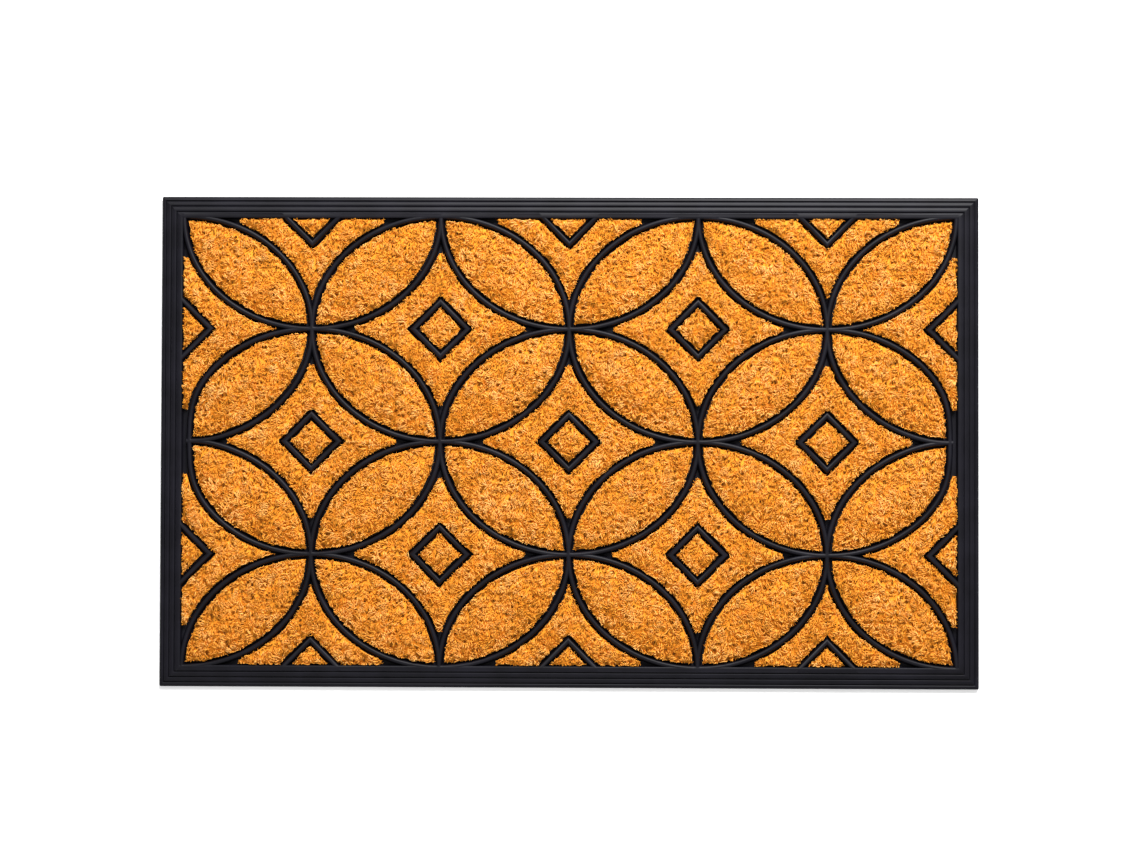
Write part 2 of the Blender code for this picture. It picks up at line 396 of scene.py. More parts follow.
# %% [markdown]
# ## Join the moulding
# The real moulding is one piece of rubber, so the border, the web and all the ribs become one
# skin. Laying the solids into each other would look much the same from above, but would leave
# hidden faces inside. A Boolean union with the Manifold solver is fast and leaves none.

# %% Join the moulding
helpers = bpy.data.collections.new("moulding_parts")
bpy.context.scene.collection.children.link(helpers)
first = add_mesh("rubber_mat", solids[0][1], solids[0][2])
for name, points, faces in solids[1:]:
    part = add_mesh(name, points, faces)
    bpy.context.scene.collection.objects.unlink(part)
    helpers.objects.link(part)
union = first.modifiers.new("join", "BOOLEAN")
union.operation = "UNION"
union.solver = "MANIFOLD"
union.operand_type = "COLLECTION"
union.collection = helpers
bpy.context.view_layer.update()
graph = bpy.context.evaluated_depsgraph_get()
joined = bpy.data.meshes.new_from_object(first.evaluated_get(graph))
first.modifiers.clear()
first.data = joined
joined.name = "rubber_mat"
for part in list(helpers.objects):
    bpy.data.objects.remove(part, do_unlink=True)
bpy.data.collections.remove(helpers)
moulding = first
print("moulding faces:", len(joined.polygons))

# %% Shade the moulding
SHARP_TURN_DEG = 38.0
joined.shade_smooth()
joined.set_sharp_from_angle(angle=math.radians(SHARP_TURN_DEG))
print("edges stay sharp from", SHARP_TURN_DEG, "degrees")

# %% [markdown]
# ## Rubber
# Moulded rubber is nearly black, a little violet where it catches the light, and dull rather than
# glossy. Its skin carries a fine grain and faint dusty patches. An even colour would be simpler but
# would look like paint, so a broad noise mixes two blacks and a very fine one drives the bump. Both
# read the piece's own Object coordinates, so they stay put on the mat.

# %% Rubber material
RUBBER_DARK = (0.0029, 0.0026, 0.0048, 1.0)
RUBBER_DUSTY = (0.0064, 0.0059, 0.0100, 1.0)
RUBBER_SHINE = 0.16
RUBBER_ROUGHNESS = 0.50
PATCH_SCALE = 38.0
PATCH_FROM = 0.38
PATCH_TO = 0.72
GRAIN_SCALE = 1400.0
GRAIN_STRENGTH = 0.25
GRAIN_DEPTH = 0.0002


def new_material(name, roughness):
    """A material with its Principled shader, and the node tree to build in."""
    material = bpy.data.materials.new(name)
    material.use_nodes = True
    shader = material.node_tree.nodes["Principled BSDF"]
    shader.inputs["Roughness"].default_value = roughness
    return material, material.node_tree, shader


def noise_on(tree, place, scale, detail):
    """A Noise texture on the given coordinates."""
    noise = tree.nodes.new("ShaderNodeTexNoise")
    noise.inputs["Scale"].default_value = scale
    noise.inputs["Detail"].default_value = detail
    tree.links.new(place, noise.inputs["Vector"])
    return noise


def bump_on(tree, shader, pattern, strength, depth):
    """Joins a pattern to a shader's normal through a Bump node."""
    bump = tree.nodes.new("ShaderNodeBump")
    bump.inputs["Strength"].default_value = strength
    bump.inputs["Distance"].default_value = depth
    tree.links.new(pattern.outputs["Fac"], bump.inputs["Height"])
    tree.links.new(bump.outputs["Normal"], shader.inputs["Normal"])


rubber, tree, shader = new_material("black_rubber_skin", RUBBER_ROUGHNESS)
shader.inputs["Specular IOR Level"].default_value = RUBBER_SHINE
place = tree.nodes.new("ShaderNodeTexCoord").outputs["Object"]
patches = noise_on(tree, place, PATCH_SCALE, 6.0)
tint = tree.nodes.new("ShaderNodeValToRGB")
tint.color_ramp.elements[0].position = PATCH_FROM
tint.color_ramp.elements[0].color = RUBBER_DARK
tint.color_ramp.elements[1].position = PATCH_TO
tint.color_ramp.elements[1].color = RUBBER_DUSTY
tree.links.new(patches.outputs["Fac"], tint.inputs["Fac"])
tree.links.new(tint.outputs["Color"], shader.inputs["Base Color"])
grain = noise_on(tree, place, GRAIN_SCALE, 3.0)
bump_on(tree, shader, grain, GRAIN_STRENGTH, GRAIN_DEPTH)
print("rubber nodes:", len(tree.nodes))

moulding.data.materials.clear()
moulding.data.materials.append(rubber)
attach(moulding, BODY)
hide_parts("rubber_moulding")

# %% [markdown]
# ## Coir pile: where the fibres stand
# Each opening of the lattice holds a pad of coir. The frame already has each pad as a plain
# block, and the outline of its top is found from the triangles there: an edge that only one of
# them uses lies on the outline. Fibres are sown on a jittered grid and kept where a line
# drawn to the side crosses the outline an odd number of times, which also leaves a star's hole
# empty.


# %% Outline of a pad
SAME_PLACE = 6  # decimals of a metre at which two points count as one
LEVEL_SLACK = 0.0001


def pad_triangles(node):
    """Points and triangles of a node's mesh, with points that share a place made one."""
    mesh = NODES[node].data
    mesh.calc_loop_triangles()
    places = np.empty(3 * len(mesh.vertices), np.float32)
    mesh.vertices.foreach_get("co", places)
    corners = np.empty(3 * len(mesh.loop_triangles), np.int32)
    mesh.loop_triangles.foreach_get("vertices", corners)
    rounded = np.round(places.reshape(-1, 3).astype(float), SAME_PLACE)
    points, index = np.unique(rounded, axis=0, return_inverse=True)
    return points, index.reshape(-1)[corners].reshape(-1, 3)


def top_outline(points, triangles):
    """Start and end of every outline edge of the top, with the pad on the left of each."""
    level = points[:, 2].max() - LEVEL_SLACK
    top = triangles[(points[triangles][:, :, 2] > level).all(axis=1)]
    edges = np.concatenate([top[:, [0, 1]], top[:, [1, 2]], top[:, [2, 0]]])
    _, index, count = np.unique(np.sort(edges, axis=1), axis=0, return_inverse=True, return_counts=True)
    single = edges[count[index.reshape(-1)] == 1]
    return points[single][:, :, :2]


def outward(outline):
    """Unit direction out of the pad at every outline edge: the edge's own direction turned right."""
    along = outline[:, 1] - outline[:, 0]
    along = along / np.linalg.norm(along, axis=1, keepdims=True)
    return np.stack([along[:, 1], -along[:, 0]], axis=1)


def inside(spots, outline):
    """True where a ray along +X from the spot crosses the outline an odd number of times."""
    start, stop = outline[:, 0], outline[:, 1]
    x, y = spots[:, :1], spots[:, 1:]
    spans = (start[:, 1] > y) != (stop[:, 1] > y)
    rise = np.where(stop[:, 1] == start[:, 1], 1.0, stop[:, 1] - start[:, 1])
    crossing = start[:, 0] + (y - start[:, 1]) * (stop[:, 0] - start[:, 0]) / rise
    return (spans & (x < crossing)).sum(axis=1) % 2 == 1


def edge_distance(spots, outline):
    """Distance from each spot to the outline, and the direction straight out through it."""
    start = outline[:, 0]
    along = outline[:, 1] - start
    share = ((spots[:, None, :] - start) * along).sum(-1) / (along**2).sum(-1)
    foot = start + np.clip(share, 0, 1)[..., None] * along
    offset = foot - spots[:, None, :]
    length = np.linalg.norm(offset, axis=-1)
    nearest = length.argmin(axis=1)
    rows = np.arange(len(spots))
    out = offset[rows, nearest] / np.maximum(length[rows, nearest], 1e-9)[:, None]
    return length[rows, nearest], out


# %% [markdown]
# ## Coir pile: tufts
# Coir doesn't stand like grass. It clings together in tufts a few millimetres wide, each leaning
# its own way and standing a little higher or lower, with dark gaps where tufts part. Tufts are
# cells round jittered grid points: a fibre belongs to the nearest of them. A hash of the cell's
# numbers gives each tuft its own lean, height and colour, so that neighbouring pads differ.


# %% Tufts
HASH_FACTORS = (12.9898, 78.233, 37.719)
HASH_SCALE = 43758.5453
JITTER_LOW = 0.1
JITTER_SPAN = 0.8


def hashed(*numbers):
    """A number from 0 to 1 that looks random: the fraction of a large multiple of a sine."""
    total = sum(number * factor for number, factor in zip(numbers, HASH_FACTORS))
    return np.modf(np.abs(np.sin(total) * HASH_SCALE))[0]


def nearest_tuft(spots, size, seed):
    """Numbers (i, j) of the jittered cell centre nearest to each spot, and the way from it there.

    Every spot is compared with the centres of its own cell and of the eight cells round it.
    """
    cell = np.floor(spots / size)
    best = np.full(len(spots), np.inf)
    found = np.zeros_like(cell)
    offset = np.zeros_like(spots)
    for i in (-1, 0, 1):
        for j in (-1, 0, 1):
            other = cell + [i, j]
            jitter = np.stack([hashed(*other.T, seed), hashed(*other.T, seed + 1)], axis=1)
            way = spots - (other + JITTER_LOW + JITTER_SPAN * jitter) * size
            gap = (way**2).sum(axis=1)
            closer = gap < best
            best = np.where(closer, gap, best)
            found = np.where(closer[:, None], other, found)
            offset = np.where(closer[:, None], way, offset)
    return found[:, 0], found[:, 1], offset


def smooth_noise(spots, size, seed):
    """Hashed values on a grid, blended between its points by the smoothstep curve."""
    cell = np.floor(spots / size)
    share = spots / size - cell
    share = share * share * (3 - 2 * share)
    values = [hashed(*(cell + corner).T, seed) for corner in ((0, 0), (1, 0), (0, 1), (1, 1))]
    near = values[0] + (values[1] - values[0]) * share[:, 0]
    far = values[2] + (values[3] - values[2]) * share[:, 0]
    return near + (far - near) * share[:, 1]


# %% [markdown]
# ## Coir pile: one fibre
# A fibre is a bent spike with three sides: a ring of three points at the root, another at the knee
# where it bends, and a point at the tip. That is ten triangles, few enough to make so many of them.
# A tube with more sides would look the same from above.

# %% Fibres
FIBRE_RADIUS = 0.00036
ROOT_SHARE = 0.9
RING_TURNS = np.arange(3) * 2 * np.pi / 3
POINTS_EACH = 7
SIDE_QUADS = np.array([(0, 1, 4, 3), (1, 2, 5, 4), (2, 0, 3, 5)])
END_TRIANGLES = np.array([(0, 2, 1), (3, 4, 6), (4, 5, 6), (5, 3, 6)])


def unit(vectors):
    """Vectors divided by their lengths."""
    return vectors / np.linalg.norm(vectors, axis=-1, keepdims=True)


def fibre_mesh(root, knee, tip, radius):
    """Points and faces of all fibres at once.

    Each ring's three points stand round the fibre's axis at angles a third of a turn apart.
    """
    axis = unit(tip - root)
    helper = np.where(np.abs(axis[:, 2:]) < 0.9, [[0.0, 0.0, 1.0]], [[1.0, 0.0, 0.0]])
    side = unit(np.cross(axis, helper))
    other = np.cross(axis, side)
    spread = side[:, None] * np.cos(RING_TURNS)[:, None] + other[:, None] * np.sin(RING_TURNS)[:, None]
    wide = radius[:, None, None]
    rings = [root[:, None] + spread * wide * ROOT_SHARE, knee[:, None] + spread * wide, tip[:, None]]
    points = np.concatenate(rings, axis=1).reshape(-1, 3)
    offset = np.arange(len(root))[:, None, None] * POINTS_EACH
    return points, SIDE_QUADS + offset, END_TRIANGLES + offset


# %% [markdown]
# ## Coir pile: sow it
# Every fibre leans the way its tuft leans, and a little away from the tuft's middle, so a tuft
# looks like a small dome. At the pad's edge fibres may reach out only so far: that limit wanders
# along the edge and gives the pad its ragged outline. Here and there the pile has a pit a
# millimetre or two wide, where only short stubs stand, painted very dark brown for the browner
# depth of the pile and as painted shade in the pit. A hair system would be quicker to set up, but
# its strands aren't closed meshes, and they are harder to hold back from the ribs.

# %% Sizes of the pile
FIBRE_SPACING = 0.00115
SPOT_JITTER = 0.55
FIBRE_ROOT = 0.0070
PILE_RISE = 0.0039
HEIGHT_SHARES = (0.78, 1.10)
RADIUS_SHARES = (0.7, 1.4)
TUFT_SIZE = 0.0062
TUFT_RISE = 0.0014
TUFT_DOME = 0.0014
WAVE_SIZE = 0.0095
WAVE_RISE = 0.0018
LEAN_DEG = 52.0
TUFT_LEAN_DEG = 24.0
LEAN_SPREAD_DEG = 9.0
LEAN_LIMITS_DEG = (15.0, 75.0)
EDGE_UPRIGHT = 0.35
AWAY_FROM_MIDDLE = 1.5
WAY_SPREAD = 0.35
LONGEST_RUN = 0.0046
KNEE_RUN = 0.42
KNEE_HEIGHT = 0.70
KNEE_SPREAD = 0.00012
TIP_SPREAD = 0.00035
print("usual height of the fibres' tips in mm:", round(1000 * (FIBRE_ROOT + PILE_RISE), 1))

# %% Edge of the pile
EDGE_INSET = 0.0003
EDGE_REACH = 0.0022
RAGGED_SIZE = 0.0024
RAGGED_WIDE = 0.0070
RAGGED_LOW = -0.0020
RAGGED_HIGH = 0.0014
FINE_SHARE = 0.45
WIDE_SHARE = 0.55
CORNER_WEAR = 0.0013
CORNER_REACH = 0.0075
CROSSINGS = np.array(
    [lattice_point(c, r) for c in range(COLUMNS + 1) for r in range(ROWS + 1) if (c + r) % 2 == 0]
)
print("rib crossings:", len(CROSSINGS))

# %% Pits and colours of the pile
PIT_SPACING = 0.0062
PIT_SHARE = 0.85
PIT_RADIUS = 0.0011
STUB_SHARE = np.array([0.30, 0.30, 0.70])
# painted shade: the stubs in a pit get this very dark tone, for the shade down in it
STUB_SHADE_TONE = -0.05
PILE_TONE = 0.70
TUFT_TONE = 0.26
PATCH_TONE = 0.30
PATCH_SIZE = 0.009
# painted shade and light: tone per metre that a fibre stands above or below the usual height
SHADE_TONE_PER_RISE = 105.0
FIBRE_TONE = 0.04
PALE_FROM = 0.96
PALE_TONE = 0.20
DARK_BELOW = 0.05
DARK_TONE = 0.40

# The seeds keep the patterns apart. nearest_tuft also takes the number after its own.
SEED_WAVE = 2.0
SEED_TUFT = 3.0
SEED_PATCH = 4.0
SEED_TURN = 5.0
SEED_LEAN = 7.0
SEED_FINE = 9.0
SEED_RISE = 11.0
SEED_WIDE = 12.0
SEED_TONE = 13.0
SEED_PIT = 21.0
SEED_PIT_SIZE = 23.0
SEED_PIT_STRETCH = (25.0, 27.0)
SEED_PIT_KEPT = 29.0


# %% Sow the top of a pad
def ragged_limit(spots):
    """How far past the outline a fibre may reach at these spots.

    It is two smooth noises, one wide and one fine, less a bell curve round each crossing of the
    ribs, where the pads' corners are worn off.
    """
    fine = smooth_noise(spots, RAGGED_SIZE, SEED_FINE)
    wide = smooth_noise(spots, RAGGED_WIDE, SEED_WIDE)
    away = np.linalg.norm(spots[:, None] - CROSSINGS, axis=-1).min(axis=1)
    wear = CORNER_WEAR * np.exp(-((away / CORNER_REACH) ** 2))
    return RAGGED_LOW + (RAGGED_HIGH - RAGGED_LOW) * (FINE_SHARE * fine + WIDE_SHARE * wide) - wear


def sow(outline, random):
    """Roots on a jittered grid over the pad, and each one's distance and direction to the edge."""
    low = outline.reshape(-1, 2).min(axis=0)
    high = outline.reshape(-1, 2).max(axis=0)
    across = np.arange(low[0], high[0], FIBRE_SPACING)
    along = np.arange(low[1], high[1], FIBRE_SPACING)
    spots = np.stack(np.meshgrid(across, along), axis=-1).reshape(-1, 2)
    spots = spots + random.uniform(-SPOT_JITTER, SPOT_JITTER, spots.shape) * FIBRE_SPACING
    spots = spots[inside(spots, outline)]
    distance, out = edge_distance(spots, outline)
    kept = distance > np.maximum(EDGE_INSET, EDGE_INSET - ragged_limit(spots))
    return spots[kept], distance[kept], out[kept]


def pulled_in(places, outline, most=None):
    """Moves places that reach too far over the edge straight back to the ragged limit, or to most.

    The second round catches places that the first moved to where the limit is tighter.
    """
    for _ in range(2):
        spots = places[:, :2]
        distance, toward_edge = edge_distance(spots, outline)
        within = inside(spots, outline)
        past = np.where(within, -distance, distance)
        out = np.where(within[:, None], toward_edge, -toward_edge)
        limit = ragged_limit(spots) if most is None else most
        excess = np.maximum(past - limit, 0)[:, None]
        places = np.column_stack([spots - out * excess, places[:, 2]])
    return places


def in_pit(spots):
    """True within a pit: an oval of hashed size and shape round some of the jittered grid points.

    The radius runs from 0.6 to 1.4 times PIT_RADIUS, and each axis is stretched 0.7 to 1.3 times.
    """
    i, j, offset = nearest_tuft(spots, PIT_SPACING, SEED_PIT)
    radius = PIT_RADIUS * (0.6 + 0.8 * hashed(i, j, SEED_PIT_SIZE))
    stretch = np.stack([0.7 + 0.6 * hashed(i, j, seed) for seed in SEED_PIT_STRETCH], axis=1)
    within = np.linalg.norm(offset / stretch, axis=1) < radius
    return within & (hashed(i, j, SEED_PIT_KEPT) < PIT_SHARE)


def pile_heights(spots, i, j, offset, random):
    """Height of each fibre over its root.

    It is the pile's height, more or less by tuft, less towards the tuft's rim in a dome, plus a
    smooth wave, all times a random share.
    """
    dome = (offset**2).sum(axis=1) / TUFT_SIZE**2
    height = PILE_RISE + TUFT_RISE * (hashed(i, j, SEED_RISE) - 0.5) - TUFT_DOME * dome
    height = height + WAVE_RISE * (smooth_noise(spots, WAVE_SIZE, SEED_WAVE) - 0.5)
    return height * random.uniform(*HEIGHT_SHARES, len(spots))


def pile_tones(spots, i, j, height, random):
    """Tone of each fibre: painted darker where it stands lower and paler where it stands higher, as shade and
    light, and different by tuft, patch and fibre.
    """
    count = len(spots)
    tone = PILE_TONE + TUFT_TONE * (hashed(i, j, SEED_TONE) - 0.5)
    tone = tone + PATCH_TONE * (smooth_noise(spots, PATCH_SIZE, SEED_PATCH) - 0.5)
    # painted shade: lower fibres and tuft rims get a darker tone, higher ones a paler one
    tone = tone + SHADE_TONE_PER_RISE * (height - PILE_RISE)
    odd = random.uniform(0, 1, count)
    tone = tone + random.normal(0, FIBRE_TONE, count)
    return tone + PALE_TONE * (odd > PALE_FROM) - DARK_TONE * (odd < DARK_BELOW)


def pile_fibres(outline, random):
    """Root, knee, tip, radius and tone of the fibres that cover the top of a pad.

    A fibre's run to the side is its height times the tangent of its lean. In a pit the fibre is
    cut down to a stub, and one that leans over a pit from outside it is left out.
    """
    spots, distance, out = sow(outline, random)
    count = len(spots)
    i, j, offset = nearest_tuft(spots, TUFT_SIZE, SEED_TUFT)
    turn = 2 * np.pi * hashed(i, j, SEED_TURN)
    common = np.stack([np.cos(turn), np.sin(turn)], axis=1)
    near_edge = np.clip(1 - distance / EDGE_REACH, 0, 1)[:, None]
    way = common + AWAY_FROM_MIDDLE * offset / TUFT_SIZE + random.normal(0, WAY_SPREAD, (count, 2))
    way = unit(way + out * near_edge + 1e-6)
    lean = LEAN_DEG + TUFT_LEAN_DEG * (hashed(i, j, SEED_LEAN) - 0.5)
    lean = lean + random.normal(0, LEAN_SPREAD_DEG, count)
    lean = np.radians(np.clip(lean, *LEAN_LIMITS_DEG)) * (1 - EDGE_UPRIGHT * near_edge[:, 0])
    height = pile_heights(spots, i, j, offset, random)
    run = np.minimum(height * np.tan(lean), LONGEST_RUN)
    root = np.column_stack([spots, np.full(count, FIBRE_ROOT)])
    knee = root + np.column_stack([way * (run * KNEE_RUN)[:, None], height * KNEE_HEIGHT])
    tip = root + np.column_stack([way * run[:, None], height])
    knee[:, :2] += random.normal(0, KNEE_SPREAD, (count, 2))
    tip[:, :2] += random.normal(0, TIP_SPREAD, (count, 2))
    knee = pulled_in(knee, outline)
    tip = pulled_in(tip, outline)
    radius = FIBRE_RADIUS * random.uniform(*RADIUS_SHARES, count)
    tone = pile_tones(spots, i, j, height, random)
    between = (knee[:, :2] + tip[:, :2]) / 2
    stub = in_pit(spots)
    kept = stub | ~(in_pit(knee[:, :2]) | in_pit(between) | in_pit(tip[:, :2]))
    tip = np.where(stub[:, None], root + (tip - root) * STUB_SHARE, tip)
    knee = np.where(stub[:, None], root + (knee - root) * STUB_SHARE, knee)
    # the stubs take the painted shade of the pit
    tone = np.where(stub, STUB_SHADE_TONE, tone)
    return [values[kept] for values in (root, knee, tip, radius, tone)]


# %% [markdown]
# The cut sides of a pad are rough too. Short fibres stand out of them, painted browner than the
# top as the shade down there, where little light reaches. A few thin loose ones reach further and
# make the edge look frayed, but stop short of the ribs.

# %% Sow the sides of a pad
WALL_SPACING = 0.00085
WALL_LOW = 0.0045
WALL_HIGH = 0.0088
WALL_ROOT_DEPTH = 0.0003
WALL_PUSH = (-0.0002, 0.0005)
WALL_RISE = (0.0006, 0.0018)
WALL_SLIDE = 0.0009
# painted shade: tone of the fibres on the pads' cut sides, lower than the top's
WALL_SHADE_TONE = 0.38
WALL_TONE_SPREAD = 0.12
WALL_RADIUS_SHARES = (0.7, 1.2)
WALL_KNEE = (0.7, 0.4)
GROUND_INSET = 0.0009
LOOSE_SHARE = 0.16
LOOSE_REACH = 0.0017
LOOSE_SHARES = (0.3, 1.0)
LOOSE_RISE = 0.4
LOOSE_KNEE = 0.4
LOOSE_KNEE_RISE = 0.2
LOOSE_RADIUS = 0.75
LOOSE_TONE = 0.10
RIB_GAP = 0.0015


def wall_fibres(outline, random):
    """Root, knee, tip, radius and tone of the fibres that stand out of the pad's cut sides.

    Each stands at a random place along the outline. Its tip lies out from its root by a random
    push, along the wall by a random slide and up by a random rise.
    """
    start, stop = outline[:, 0], outline[:, 1]
    length = np.linalg.norm(stop - start, axis=1)
    count = int(length.sum() / WALL_SPACING)
    reach = np.cumsum(length)
    pick = np.searchsorted(reach, random.uniform(0, reach[-1], count)).clip(0, len(length) - 1)
    share = random.uniform(0, 1, (count, 1))
    spots = start[pick] + (stop[pick] - start[pick]) * share
    out = outward(outline)[pick]
    along = np.stack([-out[:, 1], out[:, 0]], axis=1)
    height = random.uniform(WALL_LOW, WALL_HIGH, count)
    root = np.column_stack([spots - out * (GROUND_INSET + WALL_ROOT_DEPTH), height])
    push = GROUND_INSET + random.uniform(*WALL_PUSH, (count, 1))
    slide = random.normal(0, WALL_SLIDE, (count, 1))
    rise = random.uniform(*WALL_RISE, count)
    tip = root + np.column_stack([out * push + along * slide, rise])
    far, late = WALL_KNEE
    knee = root + np.column_stack([out * push * far + along * slide * late, rise * late])
    tip = pulled_in(tip, outline)
    knee = pulled_in(knee, outline)
    loose = random.uniform(0, 1, (count, 1)) < LOOSE_SHARE
    stray = LOOSE_REACH * random.uniform(*LOOSE_SHARES, (count, 1)) * loose
    tip = tip + np.column_stack([out * stray, stray[:, 0] * LOOSE_RISE])
    knee = knee + np.column_stack([out * stray * LOOSE_KNEE, stray[:, 0] * LOOSE_KNEE_RISE])
    tip = pulled_in(tip, outline, RIB_GAP)
    radius = FIBRE_RADIUS * random.uniform(*WALL_RADIUS_SHARES, count)
    radius = radius * np.where(loose[:, 0], LOOSE_RADIUS, 1.0)
    # painted shade: the wall fibres get a browner tone than the top
    tone = random.normal(WALL_SHADE_TONE, WALL_TONE_SPREAD, count) + LOOSE_TONE * loose[:, 0]
    return root, knee, tip, radius, tone


# %% [markdown]
# ## Coir pile: the matted ground
# Under the loose ends the fibres are matted together. That ground is the frame's own block with
# its top let down below the tips and its sides moved in behind the edge fibres. It shows only as
# dark specks between them.

# %% Matted ground
GROUND_TOP = 0.0076
CORNER_MATCH = 1e-5  # two ends closer than this are the same corner


def matted_ground(points, outline):
    """The node's block with its top let down to GROUND_TOP and its sides moved in by GROUND_INSET.

    A corner moves along the sum of its two edges' outward directions, divided by one plus the
    cosine between them. That keeps both edges at the same distance.
    """
    out = outward(outline)
    leaving = np.abs(points[:, None, :2] - outline[:, 0]).sum(axis=-1) < CORNER_MATCH
    coming = np.abs(points[:, None, :2] - outline[:, 1]).sum(axis=-1) < CORNER_MATCH
    first = leaving.astype(float) @ out
    second = coming.astype(float) @ out
    mitre = (first + second) / (1 + (first * second).sum(axis=1))[:, None]
    flat = points[:, :2] - GROUND_INSET * mitre
    return np.column_stack([flat, np.minimum(points[:, 2], GROUND_TOP)])


# %% [markdown]
# ## Coir material
# Coir is a dull orange tan. Single fibres run from dark brown husk to pale straw. A noise alone
# couldn't follow single fibres, so every point of a piece carries a number, its tone, which a
# colour ramp turns into the fibre's colour. The tone also carries painted shade: it grows from
# root to tip for browner roots, worn pale tips and the shade low in the pile, and it is lower on
# low fibres, on the stubs in pits and on the pads' cut sides. A fine noise adds flecks along the
# fibres.

# %% Coir material
COIR_RAMP = (
    (0.00, (0.085, 0.021, 0.003, 1.0)),
    (0.25, (0.560, 0.160, 0.010, 1.0)),
    (0.50, (0.800, 0.315, 0.026, 1.0)),
    (0.75, (0.910, 0.400, 0.066, 1.0)),
    (1.00, (0.960, 0.530, 0.155, 1.0)),
)

COIR_ROUGHNESS = 0.85
COIR_SHINE = 0.10
FLECK_SCALE = 420.0
FLECK_SHARE = 0.30
FLECK_STRENGTH = 0.4
FLECK_DEPTH = 0.0003

coir, tree, shader = new_material("coir_fibre", COIR_ROUGHNESS)
shader.inputs["Specular IOR Level"].default_value = COIR_SHINE
tone = tree.nodes.new("ShaderNodeAttribute")
tone.attribute_name = "tone"
ramp = tree.nodes.new("ShaderNodeValToRGB")
stops = ramp.color_ramp.elements
while len(stops) < len(COIR_RAMP):
    stops.new(0.5)
for stop, (position, colour) in zip(stops, COIR_RAMP):
    stop.position = position
    stop.color = colour
place = tree.nodes.new("ShaderNodeTexCoord").outputs["Object"]
fleck = noise_on(tree, place, FLECK_SCALE, 4.0)
mixed = tree.nodes.new("ShaderNodeMath")
mixed.operation = "MULTIPLY_ADD"
mixed.inputs[1].default_value = FLECK_SHARE
tree.links.new(fleck.outputs["Fac"], mixed.inputs[0])
tree.links.new(tone.outputs["Fac"], mixed.inputs[2])
tree.links.new(mixed.outputs["Value"], ramp.inputs["Fac"])
tree.links.new(ramp.outputs["Color"], shader.inputs["Base Color"])
bump_on(tree, shader, fleck, FLECK_STRENGTH, FLECK_DEPTH)
print("coir nodes:", len(tree.nodes))

# %% [markdown]
# ## Coir pile: put it in the mesh
# A pile has tens of thousands of faces, so its arrays go in with `foreach_set`. Blender stores a
# mesh as one long list of corners, and each face says where its corners start. The piece gets its
# own UV map too: every fibre has a small square of its own on it, root to tip along one side, and
# the matted ground has the strip that is left.

# %% Build one pile
GROUND_SHARE = 0.12
GROUND_TONE = 0.40
TONE_SHIFT = 0.15  # half of FLECK_SHARE, so that the flecks leave the mean tone as it is
# root ring darker and tip paler: browner roots and worn tips, plus painted shade low in the pile
TONE_AND_SHADE_BY_POINT = np.array([-0.10, -0.10, -0.10, 0.0, 0.0, 0.0, 0.08])
QUAD_PLACE = np.array([(0.1, 0.1), (0.1, 0.9), (0.55, 0.9), (0.55, 0.1)])
CAP_PLACE = np.array([(0.1, 0.1), (0.1, 0.9), (0.2, 0.5)])
SPIKE_PLACE = np.array([(0.55, 0.1), (0.55, 0.9), (0.9, 0.5)])
GROUND_PART = 0.9
SIDE_SHIFT = 0.02


def cell_map(count, columns, rows):
    """Lower left corner and size of each fibre's square on the map."""
    number = np.arange(count)
    size = np.array([1.0 / columns, (1.0 - GROUND_SHARE) / rows])
    corner = np.stack([number % columns, number // columns], axis=1) * size
    return corner + [0.0, GROUND_SHARE], size


def pile_map(ground, triangles, count):
    """Place on the map of every face corner, in the order of the faces.

    The ground lies flat in its strip, with its upper points shifted a little so that its sides
    have some width there. In each fibre's square the quads cover root to knee, the spikes knee to
    tip, and the cap lies at the root.
    """
    columns = math.ceil(math.sqrt(count))
    corner, size = cell_map(count, columns, math.ceil(count / columns))
    low, high = ground.min(axis=0), ground.max(axis=0)
    flat = (ground - low) / np.maximum(high - low, 1e-9)
    across = flat[:, 0] * GROUND_PART + flat[:, 2] * SIDE_SHIFT
    ground_uv = np.column_stack([across, flat[:, 1] * GROUND_SHARE * GROUND_PART])
    quad_uv = corner[:, None, None] + np.broadcast_to(QUAD_PLACE, (count, 3, 4, 2)) * size
    ends = np.stack([CAP_PLACE, SPIKE_PLACE, SPIKE_PLACE, SPIKE_PLACE])
    end_uv = corner[:, None, None] + ends * size
    return np.concatenate([ground_uv[triangles.reshape(-1)], quad_uv.reshape(-1, 2), end_uv.reshape(-1, 2)])


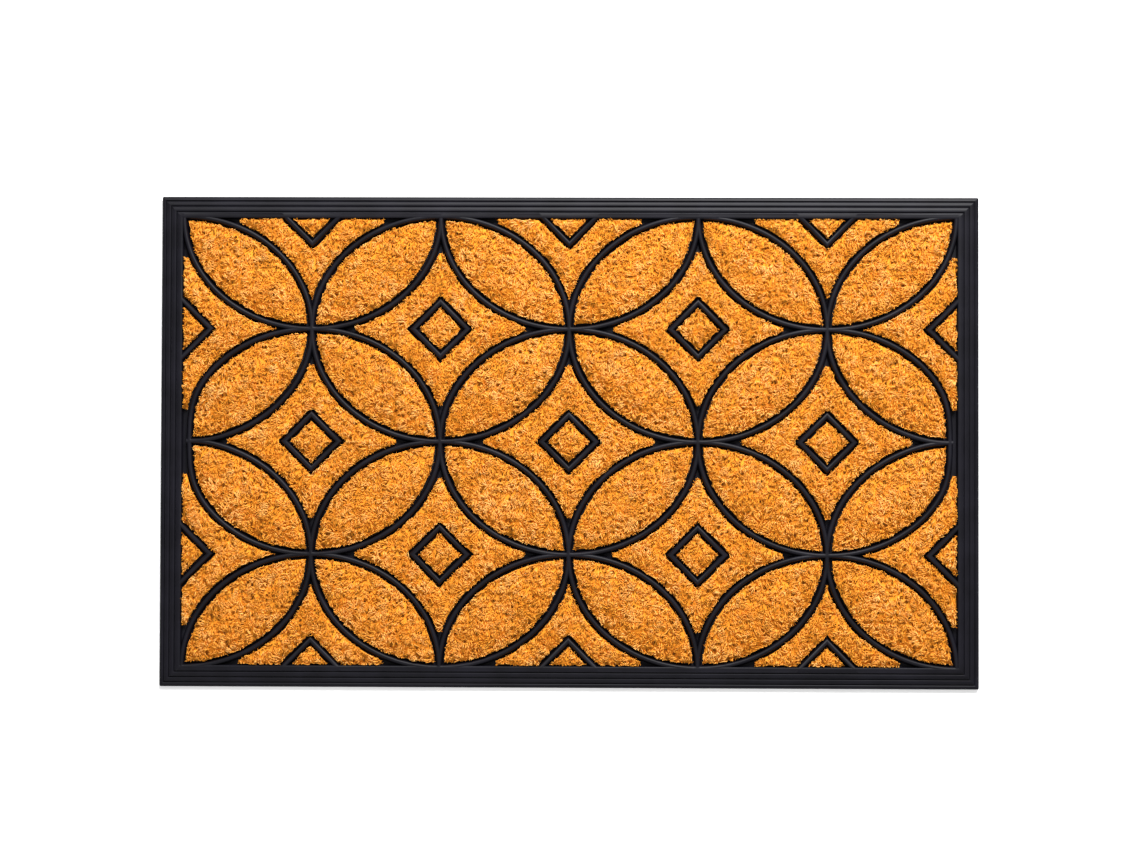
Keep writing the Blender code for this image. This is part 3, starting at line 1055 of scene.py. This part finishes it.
def pile_object(node, random):
    """The whole pile of one pad: its matted ground and all its fibres in one mesh."""
    block, triangles = pad_triangles(node)
    outline = top_outline(block, triangles)
    ground = matted_ground(block, outline)
    sown = [pile_fibres(outline, random), wall_fibres(outline, random)]
    root, knee, tip, radius, tone = [np.concatenate(parts) for parts in zip(*sown)]
    fibres, quads, ends = fibre_mesh(root, knee, tip, radius)
    count = len(root)
    points = np.concatenate([ground, fibres])
    quads = quads.reshape(-1, 4) + len(ground)
    ends = ends.reshape(-1, 3) + len(ground)
    corners = np.concatenate([triangles.reshape(-1), quads.reshape(-1), ends.reshape(-1)])
    sizes = np.repeat([3, 4, 3], [len(triangles), len(quads), len(ends)])
    starts = np.concatenate([[0], np.cumsum(sizes)[:-1]])

    mesh = bpy.data.meshes.new(node.replace("pad", "pile"))
    mesh.vertices.add(len(points))
    mesh.vertices.foreach_set("co", points.astype(np.float32).reshape(-1))
    mesh.loops.add(len(corners))
    mesh.loops.foreach_set("vertex_index", corners.astype(np.int32))
    mesh.polygons.add(len(sizes))
    mesh.polygons.foreach_set("loop_start", starts.astype(np.int32))
    mesh.update(calc_edges=True)

    fibre_tones = (tone[:, None] + TONE_AND_SHADE_BY_POINT).reshape(-1)
    tones = np.concatenate([np.full(len(ground), GROUND_TONE), fibre_tones])
    attribute = mesh.attributes.new("tone", "FLOAT", "POINT")
    attribute.data.foreach_set("value", (tones - TONE_SHIFT).astype(np.float32))
    layer = mesh.uv_layers.new(name="OFBake")
    places = pile_map(ground, triangles, count)
    layer.uv.foreach_set("vector", places.astype(np.float32).reshape(-1))
    mesh.materials.append(coir)
    piece = bpy.data.objects.new(mesh.name, mesh)
    bpy.context.scene.collection.objects.link(piece)
    return piece, count


# %% Build every pile
totals = {"fibres": 0, "faces": 0}
for node in sorted(NODES):
    if node == "rubber_moulding":
        continue
    random = np.random.default_rng(zlib.crc32(node.encode()))
    pile, count = pile_object(node, random)
    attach(pile, BODY)
    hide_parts(node)
    totals["fibres"] += count
    totals["faces"] += len(pile.data.polygons)
print("piles made:", totals)

# %% [markdown]
# ## Floor and light
# A plain pale floor and soft studio light: a large lamp on the far side that rakes over the bands
# and ribs, a much weaker one on the near side, and an even sky that keeps the shadows open. The
# floor glows a little, as a lit studio table does, so the mat's shadow on it stays faint.

# %% Floor
FLOOR_HALF = 6.0
FLOOR_COLOUR = (0.90, 0.90, 0.90, 1.0)
FLOOR_GLOW = 0.35
WHITE = (1.0, 1.0, 1.0, 1.0)

floor_corners = np.array([(-1, -1, 0), (1, -1, 0), (1, 1, 0), (-1, 1, 0)], float) * FLOOR_HALF
floor = add_mesh("floor", floor_corners, [(0, 1, 2, 3)])
floor_material, _, floor_shader = new_material("pale_floor", 0.9)
floor_shader.inputs["Base Color"].default_value = FLOOR_COLOUR
floor_shader.inputs["Emission Color"].default_value = WHITE
floor_shader.inputs["Emission Strength"].default_value = FLOOR_GLOW
floor.data.materials.append(floor_material)
print("floor half side in m:", FLOOR_HALF)

# %% Light
SKY_STRENGTH = 0.42
LAMPS = (
    ("far_lamp", (0.5, 1.8, 1.7), 1.3, 143.0),
    ("near_lamp", (-0.5, -1.6, 2.0), 1.8, 9.0),
)

world = bpy.data.worlds.new("studio")
world.use_nodes = True
world.node_tree.nodes["Background"].inputs["Color"].default_value = WHITE
world.node_tree.nodes["Background"].inputs["Strength"].default_value = SKY_STRENGTH
bpy.context.scene.world = world
for name, spot, size, power in LAMPS:  # each lamp looks at the origin, where the mat's middle is
    lamp = bpy.data.lights.new(name, "AREA")
    lamp.shape = "DISK"
    lamp.size = size
    lamp.energy = power
    holder = bpy.data.objects.new(name, lamp)
    holder.location = spot
    direction = np.array(spot) / np.linalg.norm(spot)
    holder.rotation_euler = (math.acos(direction[2]), 0, math.atan2(direction[1], direction[0]) + math.pi / 2)
    bpy.context.scene.collection.objects.link(holder)
    print(name, "shines with", power, "W")
bpy.context.scene.view_settings.view_transform = "Standard"
